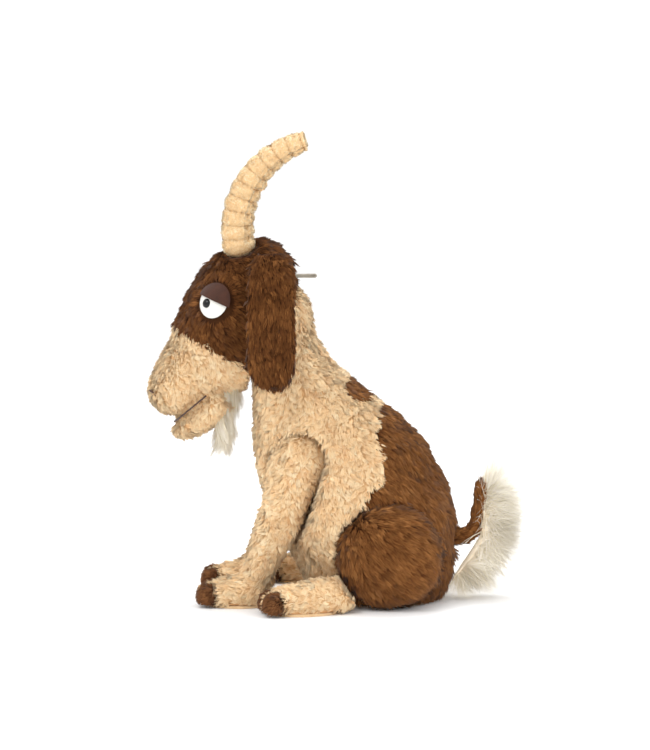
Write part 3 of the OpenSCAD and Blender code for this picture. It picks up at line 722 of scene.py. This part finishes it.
def brownBack(p):
    # behind and below this line, seen from the side, the body is brown
    edge = np.interp(p[:, 2], np.array(brownEdge["z"]), np.array(brownEdge["y"]) + seatY)
    edge = edge + brownEdge["wave"] * np.sin(p[:, 2] * brownEdge["waves"])
    return (p[:, 1] > edge) & (p[:, 2] < brownEdge["top"])


def onSpot(p):
    # inside the patch's outline, seen from the side, and near the middle of the back
    y, z = p[:, 1] - seatY, p[:, 2] - spot["raise"]
    outline = np.array(spot["outline"])
    inside = np.zeros(len(p), bool)
    j = len(outline) - 1
    for i in range(len(outline)):
        (yi, zi), (yj, zj) = outline[i], outline[j]
        crosses = (zi > z) != (zj > z)
        inside ^= crosses & (y < (yj - yi) * (z - zi) / (zj - zi + 1e-12) + yi)
        j = i
    return inside & (np.abs(p[:, 0]) < spot["halfWide"])


def onBase(p):
    return p[:, 2] < baseTop


def bodyPart(p):
    part = np.zeros(len(p), int)
    part[brownBack(p)] = 1
    part[onSpot(p)] = 2
    part[onBase(p)] = 3
    return part


mouth = {
    "along": (0.074, 0.082, 0.099, 0.109, 0.121), "up": (-0.034, -0.0267, -0.0239, -0.0215, -0.0215),
    "from": 0.072, "seamWave": 0.0008, "seamWaves": 700,
}


def headPart(p):
    # the muzzle is cream in front of and below its seam, and the chin below the mouth
    q = p - headAt
    along, up = q @ headAlong, q @ headUp
    wave = mouth["seamWave"] * np.sin(p[:, 0] * mouth["seamWaves"])
    part = ((p - seamAt) @ seamFacing > wave).astype(int)
    lower = np.interp(along, mouth["along"], mouth["up"])
    part[(part == 1) & (up < lower) & (along > mouth["from"])] = 2
    return part


clothWall = 1.6 * mm


def grow(name, skin, partOf, part, look, lie, finish, hidden=(), mend=None, gap=0.3 * mm):
    # a covered piece: its share of the skin as closed cloth, with its pile
    roots, ns = scatter(skins[skin], look["perMm2"])
    keep = np.ones(len(roots), bool) if partOf is None else partOf(roots) == part
    roots, ns = roots[keep], ns[keep]
    keep = clearOf(roots, [covers[h] for h in hidden], gap)
    roots, ns = roots[keep], ns[keep]
    if mend is not None:
        keep = mend(roots, ns)
        roots, ns = roots[keep], ns[keep]
    parts = [strands(roots, ns, lie(roots, ns), look)]
    if partOf is None:
        cloth = cutOut(skins[skin], name + "Cloth", lambda m: np.ones(len(m), bool), 0)
    else:
        cloth = cutOut(skins[skin], name + "Cloth", lambda m: partOf(m) == part, clothWall)
    piece = joinMesh(name + "_plush", cloth, parts, finishes[finish])
    return piece


def steady(*way):
    return lambda p, n: np.tile(np.array(way, float), (len(p), 1))


def aboveFloor(p, n):
    # no pile where the cloth rests on the floor
    return (p[:, 2] > 0.004) & (n[:, 2] > -0.93)


def bodyLie(p, n):
    way = np.tile(np.array((0.0, 0.18, -1.0)), (len(p), 1))
    way[:, 1] -= 0.35 * (p[:, 1] < -0.02)
    way[:, 0] += 0.15 * np.sign(p[:, 0])
    return way


def backLie(p, n):
    way = np.tile(np.array((0.0, 0.55, -0.9)), (len(p), 1))
    way[:, 1] -= 0.6 * np.clip((0.05 - p[:, 2]) / 0.05, 0, 1)
    return way


def baseLie(p, n):
    # outward from the middle of the underside
    return p * np.array((1.0, 1.0, 0.0)) - np.array((0, 0.037, 0))


def baseEdge(p, n):
    return p[:, 2] > 0.0015


bodyHidden = ["leftFrontLeg", "rightFrontLeg", "leftThigh", "rightThigh", "tail"]
made = {}
made["body_cover_cream"] = grow(
    "body_cover_cream", "body", bodyPart, 0, creamPile, bodyLie, "cream", bodyHidden + ["head"], gap=1 * mm)
made["body_cover_brown"] = grow(
    "body_cover_brown", "body", bodyPart, 1, brownPile, backLie, "brown", bodyHidden, aboveFloor, 1 * mm)
made["back_spot"] = grow("back_spot", "body", bodyPart, 2, spotPile, backLie, "brown")
made["base_panel"] = grow("base_panel", "body", bodyPart, 3, basePile, baseLie, "cream", mend=baseEdge)
for n in ("body_cover_cream", "body_cover_brown", "back_spot", "base_panel"):
    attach(made[n], "torso")
print("body covered")

eyeAt = {"left": np.array((0.03807, -0.08771, 0.22505)), "right": np.array((-0.03807, -0.08771, 0.22505))}
eyeClear = {"hair": 0.0135, "parting": 0.024, "partingOver": 0.009}
threadClear = {"mouth": 0.0026, "nostril": 0.002}
threadTree = treeOf(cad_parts["mouth_thread"])
nostrilTree = treeOf(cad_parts["nostril_threads"])


def headLie(p, n):
    q = p - headAt
    along, up = q @ headAlong, q @ headUp
    back = np.tile(np.array((0.0, 0.55, -0.8)), (len(p), 1))
    front = np.tile(headAlong, (len(p), 1))
    share = np.clip((along + 0.005) / 0.03, 0, 1) * np.clip((0.03 - np.abs(p[:, 0])) / 0.02, 0, 1)
    way = back * (1 - share[:, None]) + front * share[:, None]
    for side in bothSides:
        away = p - eyeAt[side]
        d = np.linalg.norm(away, axis=1)
        k = np.clip((eyeClear["parting"] - d) / eyeClear["partingOver"], 0, 0.8)
        way = way * (1 - k[:, None]) + unit(away) * k[:, None]
    return way


def clearOfEyes(p, n):
    keep = np.ones(len(p), bool)
    for side in bothSides:
        keep &= np.linalg.norm(p - eyeAt[side], axis=1) > eyeClear["hair"]
    return keep


def clearOfThreads(p, n):
    keep = clearOfEyes(p, n)
    for i in np.nonzero(keep)[0]:
        d = threadTree.find_nearest(p[i], 0.004)[3]
        e = nostrilTree.find_nearest(p[i], 0.003)[3]
        nearMouth = d is not None and d < threadClear["mouth"]
        if nearMouth or (e is not None and e < threadClear["nostril"]):
            keep[i] = False
    return keep


def muzzleLie(p, n):
    way = np.tile(np.array((0.0, 0.45, -0.75)), (len(p), 1))
    way[:, 0] += 0.3 * np.sign(p[:, 0])
    return way


made["head_cover"] = grow(
    "head_cover", "head", headPart, 0, facePile, headLie, "face", ["body"], clearOfEyes, 0.5 * mm)
made["muzzle_cover"] = grow(
    "muzzle_cover", "head", headPart, 1, muzzlePile, muzzleLie, "cream", ["body"], clearOfThreads, 0.5 * mm)
made["chin_cover"] = grow(
    "chin_cover", "head", headPart, 2, muzzlePile, muzzleLie, "cream", ["body"], clearOfThreads, 0.5 * mm)
for n in ("head_cover", "muzzle_cover", "chin_cover"):
    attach(made[n], "head")
print("head covered")


def legLie(p, n):
    way = np.tile(np.array((0.0, -0.25, -1.0)), (len(p), 1))
    foot = np.clip((0.034 - p[:, 2]) / 0.012, 0, 1)[:, None]
    return way * (1 - foot) + np.array((0.0, -1.0, -0.35)) * foot


def thighLie(p, n):
    q = p - np.array((0, 0.0405, 0.040))
    turn = np.tile(np.array((0.0, 0.62, -0.62)), (len(p), 1))
    turn += np.stack([np.zeros(len(p)), q[:, 1] * 9, q[:, 2] * 9], 1)
    return turn


def footLie(side):
    return steady(-0.2079 * mirrorOf(side), -0.978, -0.2)


def tailLie(p, n):
    way = np.tile(np.array((0.0, 0.12, 1.0)), (len(p), 1))
    low = np.clip((0.058 - p[:, 2]) / 0.01, 0, 1)[:, None]
    return way * (1 - low) + np.array((0.0, 1.0, 0.25)) * low


for side in bothSides:
    s = mirrorOf(side)
    outer = treeOf(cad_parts[side + "_ear_outer"])
    lining = treeOf(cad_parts[side + "_ear_lining"])

    def earPart(p, outer=outer, lining=lining):
        return np.array([int(outer.find_nearest(v)[3] > lining.find_nearest(v)[3]) for v in p])

    outerLie, liningLie = steady(0.1 * s, 0.05, -1), steady(0, 0.05, -1)
    a = grow(side + "_ear_outer", side + "Ear", earPart, 0, earPile, outerLie, "face", ["head"])
    b = grow(side + "_ear_lining", side + "Ear", earPart, 1, liningPile, liningLie, "face", ["head"])
    for o in (a, b):
        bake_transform(o)
    made[side + "_ear_outer"], made[side + "_ear_lining"] = a, b
    node = side + "_front_leg_cover"
    o = grow(node, side + "FrontLeg", None, 0, legPile, legLie, "cream", ["body"], aboveFloor)
    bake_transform(o)
    made[node] = o
    node = side + "_thigh_cover"
    o = grow(node, side + "Thigh", None, 0, thighPile, thighLie, "brown", ["body"], aboveFloor)
    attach(o, side + "_hind_leg")
    made[node] = o
    node = side + "_hind_foot_cover"
    hides = [side + "Thigh", "body"]
    o = grow(node, side + "HindFoot", None, 0, footPile, footLie(side), "cream", hides, aboveFloor)
    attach(o, side + "_hind_leg")
    made[node] = o
o = grow("tail_cover", "tail", None, 0, tailPile, tailLie, "brown", ["body"])
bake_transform(o)
made["tail_cover"] = o
print("ears, legs and tail covered")

for name, o in made.items():
    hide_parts(name)


horn = {
    "rootX": 0.018, "rootY": -0.07029, "rootZ": 0.268, "lean": math.radians(6),
    "bend": 0.068, "start": math.radians(8), "sweep": math.radians(83), "rootR": 0.0125, "taper": 0.0045,
    "pitch": 0.0103, "firstRib": 0.003, "valley": 0.0021, "ribRound": 0.3, "welt": 0.0009,
    "seam": 0.36, "seamOver": 0.16, "gather": 0.0014, "tuckRound": 0.7, "backIn": 0.0009,
}


def hornPlaces(p, s):
    # along the horn, across its bend and to its side, for each point
    x = p[:, 0] * s - horn["rootX"]
    y = p[:, 1] - horn["rootY"]
    z = p[:, 2] - horn["rootZ"]
    c, k = math.cos(horn["lean"]), math.sin(horn["lean"])
    x, z = x * c - z * k, x * k + z * c
    cy, cz = horn["bend"] * math.cos(horn["start"]), horn["bend"] * math.sin(horn["start"])
    turn = np.arctan2(z - cz, cy - y)
    out = np.hypot(y - cy, z - cz) - horn["bend"]
    return (turn + horn["start"]) * horn["bend"], out, x


def hornRadius(along):
    t = np.clip(along / (horn["sweep"] * horn["bend"]), 0, 1)
    return horn["rootR"] - horn["taper"] * t * t


def ribTurn(along):
    return np.pi * (along - horn["firstRib"]) / horn["pitch"]


hornPile = {
    "perMm2": 2.2, "length": 1.3 * mm, "width": 0.4 * mm, "sink": 0.3 * mm,
    "lift": 55, "liftVary": 14, "droop": 10, "stray": 0.5, "curl": 0.3,
    "perTuft": 5, "tuftTurn": 0.6, "tuftLength": 0.15, "gather": 0.3,
    "tuftShade": 0.14, "strandShade": 0.12, "mottle": 0.12, "mottleSize": 4 * mm,
    "swirl": 0.5, "swirlSize": 6 * mm,
}

for side in bothSides:
    s = mirrorOf(side)
    hornParts = [side + "_horn_cover", side + "_horn_back", side + "_horn_stuffing"]
    o = remeshed(copyOf(hornParts, side + "HornSkin"), 1.0 * mm, 4)
    p, n = points(o), normals(o)
    along, out, x = hornPlaces(p, s)
    r = hornRadius(along)
    back = np.clip((-out / r - horn["seam"]) / horn["seamOver"], 0, 1)
    wave = np.abs(np.sin(ribTurn(along)))
    rib = -horn["valley"] * (1 - wave ** horn["ribRound"])
    tucks = np.abs(np.sin(ribTurn(along) + 0.4 * np.sin(x * 900)))
    pucker = -horn["gather"] * (1 - tucks ** horn["tuckRound"]) * 1.6
    pucker = pucker + horn["gather"] * lumps(p, 3.2 * mm, 2.2) * 0.7 - horn["backIn"]
    welt = horn["welt"] * np.exp(-((out / r + horn["seam"] + 0.04) / 0.07) ** 2)
    move = rib * (1 - back) + pucker * back + welt - 0.0004
    # the root inside the head only draws in
    move = np.where(along < 0.0, -0.0006, move)
    setPoints(o, p + n * move[:, None])

    def hornPart(q, s=s):
        a, d = hornPlaces(q, s)[:2]
        return (d < -horn["seam"] * hornRadius(a)).astype(int)

    def hornValleyShade(q, part, s=s):
        # painted shade: the valleys between the ribs are darker, and the valleys of the gathered side near
        # the seam darker still
        a, d = hornPlaces(q, s)[:2]
        v = np.abs(np.sin(ribTurn(a)))
        tone = -0.5 * np.exp(-(v / 0.2) ** 2)
        if part == 1:
            near = np.exp(-((d / hornRadius(a) + horn["seam"] + 0.2) / 0.12) ** 2)
            tone = tone * 0.6 - 0.5 * near * (v < 0.35)
        return tone

    for part, node in enumerate((side + "_horn_cover", side + "_horn_back")):
        roots, ns = scatter(o, hornPile["perMm2"])
        keep = (hornPart(roots) == part) & clearOf(roots, [covers["head"]], 0.2 * mm)
        roots, ns = roots[keep], ns[keep]
        a = hornPlaces(roots, s)[0]
        way = np.stack([np.sin(a * 700) * 0.4, np.zeros(len(a)), np.ones(len(a))], 1)
        # the painted valley shade moves the strands in the valleys towards the dark end of the map
        parts = [strands(roots, ns, way, hornPile, hornValleyShade(roots, part))]
        cloth = cutOut(o, node + "Cloth", lambda m, part=part: hornPart(m) == part, 0.9 * mm)
        piece = joinMesh(node + "_cord", cloth, parts, finishes["cord"])
        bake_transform(piece)
        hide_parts(node)
    bpy.data.objects.remove(o)
print("horns covered")

for side in bothSides:
    for leg, body in (("front_leg", "_front_leg"), ("hind_foot", "_hind_leg")):
        node = side + "_" + leg + "_toes"
        o = drawnIn(remeshed(copyOf([node], node + "Skin"), 1.3 * mm, 3), 1.2 * mm)
        roots, ns = scatter(o, toePile["perMm2"])
        keep = aboveFloor(roots, ns)
        roots, ns = roots[keep], ns[keep]
        parts = [strands(roots, ns, np.tile((0, -0.8, -0.5), (len(roots), 1)), toePile)]
        piece = joinMesh(node + "_plush", o, parts, finishes["toe"])
        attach(piece, side + body)
        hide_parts(node)
        node = side + "_" + leg + "_sole"
        o = remeshed(copyOf([node], node + "Pad"), 0.7 * mm, 2)
        o.name = side + "_" + leg + "_sole_pad"
        o.data.materials.append(finishes["sole"])
        for f in o.data.polygons:
            f.use_smooth = True
        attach(o, side + body)
        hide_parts(node)

# the fillings, each with the body that it rides on
fills = {"body_stuffing": "torso", "pellet_bag": "torso", "head_stuffing": "head", "tail_stuffing": "tail"}
for side in bothSides:
    fills[side + "_horn_stuffing"] = side + "_horn"
    fills[side + "_front_leg_stuffing"] = side + "_front_leg"
    fills[side + "_thigh_stuffing"] = side + "_hind_leg"
    fills[side + "_hind_foot_stuffing"] = side + "_hind_leg"
for node, body in fills.items():
    big = node in ("body_stuffing", "head_stuffing")
    o = remeshed(copyOf([node], node + "Fill"), 4 * mm if big else 2 * mm, 2)
    p = points(o)
    # lumpy, and drawn in so that it stays inside its cover
    p = p + normals(o) * (lumps(p, 9 * mm, 5.0) * 0.6 * mm - 2.2 * mm)[:, None]
    if "front_leg" in node:
        p = intoChest(p, mirrorOf(node.split("_")[0]))
    setPoints(o, p)
    o.name = node + "_fill"
    o.data.materials.append(finishes["bag" if node == "pellet_bag" else "fibre"])
    for f in o.data.polygons:
        f.use_smooth = True
    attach(o, body)
    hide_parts(node)
print("fillings made")

eyeFinishes = {"eye_white": "eyeWhite", "pupil": "pupil", "eyelid": "lid", "eye_washer": "washer"}
for side in bothSides:
    for part, finish in eyeFinishes.items():
        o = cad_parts[side + "_" + part]
        o.data.materials.clear()
        o.data.materials.append(finishes[finish])
for node in ("mouth_thread", "nostril_threads"):
    # the stitches are pulled down into the pile
    o = copyOf([node], node + "_stitch")
    p = points(o)
    facing = np.stack([p[:, 0] / 0.0275, np.full(len(p), -0.5), np.zeros(len(p))], 1)
    setPoints(o, p - unit(facing) * 1.2 * mm)
    o.data.materials.append(finishes["thread"])
    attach(o, "head")
    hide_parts(node)
print("eyes and stitches made")

# a folded tape at the nape: out over the top, round the fold and back
tape = {
    "half": 8 * mm, "thick": 1.1 * mm, "from": -35 * mm, "to": -12.6 * mm,
    "rise": 242.6 * mm, "open": 0.75 * mm, "steps": 12,
}
bm = bmesh.new()
line = [(tape["from"], tape["rise"] + tape["open"] * 0.6)]
for i in range(tape["steps"] + 1):
    a = math.pi / 2 - math.pi * i / tape["steps"]
    foldY = tape["to"] - tape["open"] * 1.6 + tape["open"] * 1.6 * math.cos(a)
    line.append((foldY, tape["rise"] + tape["open"] * math.sin(a)))
line.append((tape["from"], tape["rise"] - tape["open"] * 0.6))
rows = []
for y, z in line:
    xs = np.linspace(-tape["half"], tape["half"], 9)
    rows.append([bm.verts.new((x, y, z + 0.25 * mm * math.sin(x * 330 + y * 90))) for x in xs])
for a, b in zip(rows, rows[1:]):
    for i in range(8):
        bm.faces.new((a[i], a[i + 1], b[i + 1], b[i]))
label = bpy.data.objects.new("sewn_label_tape", bpy.data.meshes.new("sewn_label_tape"))
bpy.context.scene.collection.objects.link(label)
bm.to_mesh(label.data)
bm.free()
m = label.modifiers.new("wall", "SOLIDIFY")
m.thickness = tape["thick"]
m.offset = 0
applyAll(label)
label.data.materials.append(finishes["label"])
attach(label, "head")
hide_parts("sewn_label")

tuftPile = {
    "perMm2": 2.6, "length": 31 * mm, "width": 0.4 * mm, "steps": 3, "sink": 1.0 * mm,
    "perTuft": 16, "stray": 0.3, "tuftTurn": 0.34, "curl": 0.5, "gather": 0.3, "fall": (0.0, 0.05, -0.2),
}
tuft = {
    "y": ((0.108, 0.134), (0.1095, 0.1195)), "z": ((0.0, 0.05, 0.10), (0.006, 0.05, 0.092)), "narrow": 0.5,
    "forward": 0.018, "forwardBelow": 0.046, "forwardOver": 0.034,
    "riseAt": (0.008, 0.03, 0.055, 0.078, 0.090), "rise": (-1.3, -0.65, -0.1, 0.45, 1.0),
    "floor": 0.006, "lowest": 0.0012, "floorSoft": 0.008,
}
# a slim core inside the hair
core = drawnIn(remeshed(copyOf(["tail_tuft"], "tuftCore"), 2.0 * mm, 5), 6.5 * mm)
co = points(core)
co[:, 1] = np.interp(co[:, 1], *tuft["y"])
co[:, 0] *= tuft["narrow"]
co[:, 1] -= tuft["forward"] * np.clip((tuft["forwardBelow"] - co[:, 2]) / tuft["forwardOver"], 0, 1)
co[:, 2] = np.interp(co[:, 2], *tuft["z"])
setPoints(core, co)
roots, ns = scatter(core, tuftPile["perMm2"])
# the hair fans out from the stem: up at the top, back in the middle, and down to the floor
rise = np.interp(roots[:, 2], tuft["riseAt"], tuft["rise"])
ways = unit(np.stack([roots[:, 0] * 30, np.ones(len(roots)), rise], 1))
ways = unit(ways + ns * np.array((0.6, 0.25, 0.35)))
co, faces, uv, facing = longStrands(roots, ns, ways, tuftPile)
# the lowest hair lies along the floor
soft = np.exp((co[:, 2] - tuft["floor"]) / tuft["floorSoft"])
eased = tuft["lowest"] + (tuft["floor"] - tuft["lowest"]) * soft
co[:, 2] = np.where(co[:, 2] < tuft["floor"], eased, co[:, 2])
piece = joinMesh("tail_tuft_hair", core, [(co, faces, uv, facing)], finishes["ivory"])
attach(piece, "tail")
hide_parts("tail_tuft")

beardPile = {
    "perMm2": 2.6, "length": 24 * mm, "width": 0.38 * mm, "steps": 3, "sink": 0.5 * mm,
    "perTuft": 18, "stray": 0.1, "tuftTurn": 0.16, "curl": 0.3, "gather": 0.45, "fall": (0.0, 0.12, -0.5),
}
beard = {
    "z": ((0.102, 0.135), (0.118, 0.146)), "forward": 0.006, "chestY": -0.078, "chestPress": 0.5,
    "jawPerMm2": 1.8, "jawHalf": 0.015, "jawY": (-0.088, -0.058), "jawBelow": 0.170,
}
core = drawnIn(remeshed(copyOf(["beard"], "beardCore"), 1.2 * mm, 3), 1.6 * mm)
co = points(core)
co[:, 2] = np.interp(co[:, 2], *beard["z"])
co[:, 1] += beard["forward"]
setPoints(core, co)
roots, ns = scatter(core, beardPile["perMm2"])
jaw, jawNs = scatter(skins["head"], beard["jawPerMm2"])
under = (np.abs(jaw[:, 0]) < beard["jawHalf"]) & (jaw[:, 2] < beard["jawBelow"]) & (jawNs[:, 2] < 0.1)
under &= (jaw[:, 1] > beard["jawY"][0]) & (jaw[:, 1] < beard["jawY"][1])
roots, ns = np.concatenate([roots, jaw[under]]), np.concatenate([ns, jawNs[under]])
ways = unit(ns * 0.5 + np.array((0.0, 0.05, -1.0)))
co, faces, uv, facing = longStrands(roots, ns, ways, beardPile)
# kept off the chest, which it would reach when the head nods
pressed = beard["chestY"] + (co[:, 1] - beard["chestY"]) * beard["chestPress"]
co[:, 1] = np.where(co[:, 1] > beard["chestY"], pressed, co[:, 1])
piece = joinMesh("beard_hair", core, [(co, faces, uv, facing)], finishes["ivory"])
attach(piece, "head")
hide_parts("beard")
for o in skins.values():
    bpy.data.objects.remove(o)
print("tuft and beard grown")


def plainFinish(name, colour, rough):
    m = bpy.data.materials.new(name)
    m.use_nodes = True
    b = m.node_tree.nodes["Principled BSDF"]
    b.inputs["Base Color"].default_value = linear(*colour)
    b.inputs["Roughness"].default_value = rough
    return m


deselectAll()
bpy.ops.mesh.primitive_plane_add(size=14, location=(0, 0, 0))
floor = bpy.context.object
floor.name = "floor"
floor.data.materials.append(plainFinish("floorPaper", (252, 252, 252), 0.9))

light = {"world": 1.1, "key": 11, "fill": 5, "rim": 16}
world = bpy.data.worlds.new("studio")
bpy.context.scene.world = world
world.use_nodes = True
world.node_tree.nodes["Background"].inputs[0].default_value = (1, 1, 1, 1)
world.node_tree.nodes["Background"].inputs[1].default_value = light["world"]


def areaLight(name, place, aim, size, power):
    data = bpy.data.lights.new(name, "AREA")
    data.shape = "DISK"
    data.size = size
    data.energy = power
    o = bpy.data.objects.new(name, data)
    bpy.context.scene.collection.objects.link(o)
    o.location = place
    o.rotation_euler = (Vector(aim) - Vector(place)).to_track_quat("-Z", "Y").to_euler()


areaLight("keyLight", (1.0, -0.9, 1.5), (0, 0, 0.15), 0.9, light["key"])
areaLight("fillLight", (1.3, 1.1, 0.9), (0, 0, 0.15), 1.0, light["fill"])
areaLight("topLight", (-0.6, 0.1, 1.8), (0, 0, 0.2), 1.0, light["rim"])

view = {"aim": (0.0, -0.006, 0.1682), "azimuth": 0.0, "elevation": 4.5, "distance": 2.0, "lens": 128.0}
camData = bpy.data.cameras.new("camera")
camData.lens = view["lens"]
camData.sensor_width = 36
camera = bpy.data.objects.new("camera", camData)
bpy.context.scene.collection.objects.link(camera)
e, a = math.radians(view["elevation"]), math.radians(view["azimuth"])
offset = Vector((math.cos(e) * math.cos(a), math.cos(e) * math.sin(a), math.sin(e))) * view["distance"]
camera.location = Vector(view["aim"]) + offset
camera.rotation_euler = (-offset).to_track_quat("-Z", "Y").to_euler()
bpy.context.scene.camera = camera
bpy.context.scene.view_settings.view_transform = "Standard"
